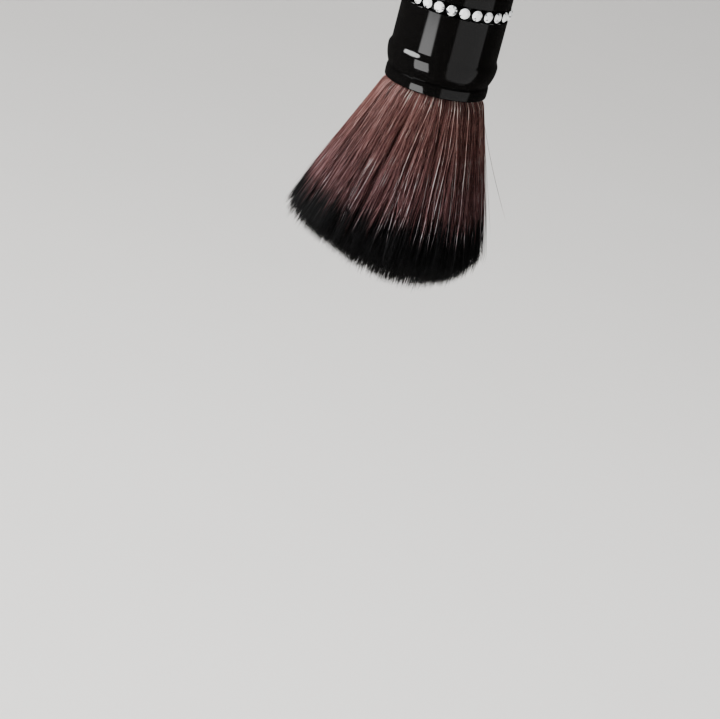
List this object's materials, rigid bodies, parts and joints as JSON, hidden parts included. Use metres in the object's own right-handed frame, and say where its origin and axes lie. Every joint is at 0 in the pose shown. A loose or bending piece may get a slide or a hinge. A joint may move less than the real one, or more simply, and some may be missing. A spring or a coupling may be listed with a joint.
{
  "type": "round hair brush",
  "caption": "Stout brush with a flared two-tone hair tuft, a gloss black ferrule with a crystal band, and a turned handle with a hanging hole.",
  "frame": {"origin": "on the brush's axis at the level of the lowest hair tips, the middle of the bounding box's bottom face", "axes": "+Z runs along the brush's axis from the hair tips to the hanging end of the handle; +X is along the hanging hole; the pictured side faces -Y"},
  "size_m": [0.0418, 0.0418, 0.1838],
  "materials": {
    "hair_dyed": "soft dyed hair, mauve brown",
    "hair_tip": "soft dyed hair, black tips",
    "thread": "waxed thread",
    "resin": "hardened resin",
    "cup_metal": "plain sheet",
    "collar_gloss": "high gloss black",
    "barrel_lacquer": "high gloss black lacquer",
    "chain_metal": "blackened plating",
    "crystal": "cut glass with foil back",
    "handle_lacquer": "black lacquer over wood",
    "knob_lacquer": "black lacquer over wood"
  },
  "bodies": {
    "grip": {"hair_root": "hair_dyed", "binding_thread": "thread", "epoxy_plug": "resin", "hair_cup": "cup_metal", "mouth_collar": "collar_gloss", "ferrule_barrel": "barrel_lacquer", "cup_chain": "chain_metal", "crystal_01": "crystal", "crystal_02": "crystal", "crystal_03": "crystal", "crystal_04": "crystal", "crystal_05": "crystal", "crystal_06": "crystal", "crystal_07": "crystal", "crystal_08": "crystal", "crystal_09": "crystal", "crystal_10": "crystal", "crystal_11": "crystal", "crystal_12": "crystal", "crystal_13": "crystal", "crystal_14": "crystal", "crystal_15": "crystal", "crystal_16": "crystal", "crystal_17": "crystal", "crystal_18": "crystal", "crystal_19": "crystal", "crystal_20": "crystal", "crystal_21": "crystal", "crystal_22": "crystal", "crystal_23": "crystal", "crystal_24": "crystal", "crystal_25": "crystal", "crystal_26": "crystal", "handle": "handle_lacquer", "end_knob": "knob_lacquer"},
    "hair_bend": {"hair_neck": "hair_dyed"},
    "tuft": {"hair_core": "hair_tip", "hair_cover": "hair_dyed"}
  },
  "joints": [
    {"name": "tuft_sway", "type": "hinge", "parent": "grip", "child": "hair_bend", "pos_m": [0, 0, 0.0395], "axis": [0, 1, 0], "range_deg": [-25, 25], "stiffness_Nm_per_rad": 0.06},
    {"name": "tuft_nod", "type": "hinge", "parent": "hair_bend", "child": "tuft", "pos_m": [0, 0, 0.0395], "axis": [1, 0, 0], "range_deg": [-25, 25], "stiffness_Nm_per_rad": 0.06}
  ]
}
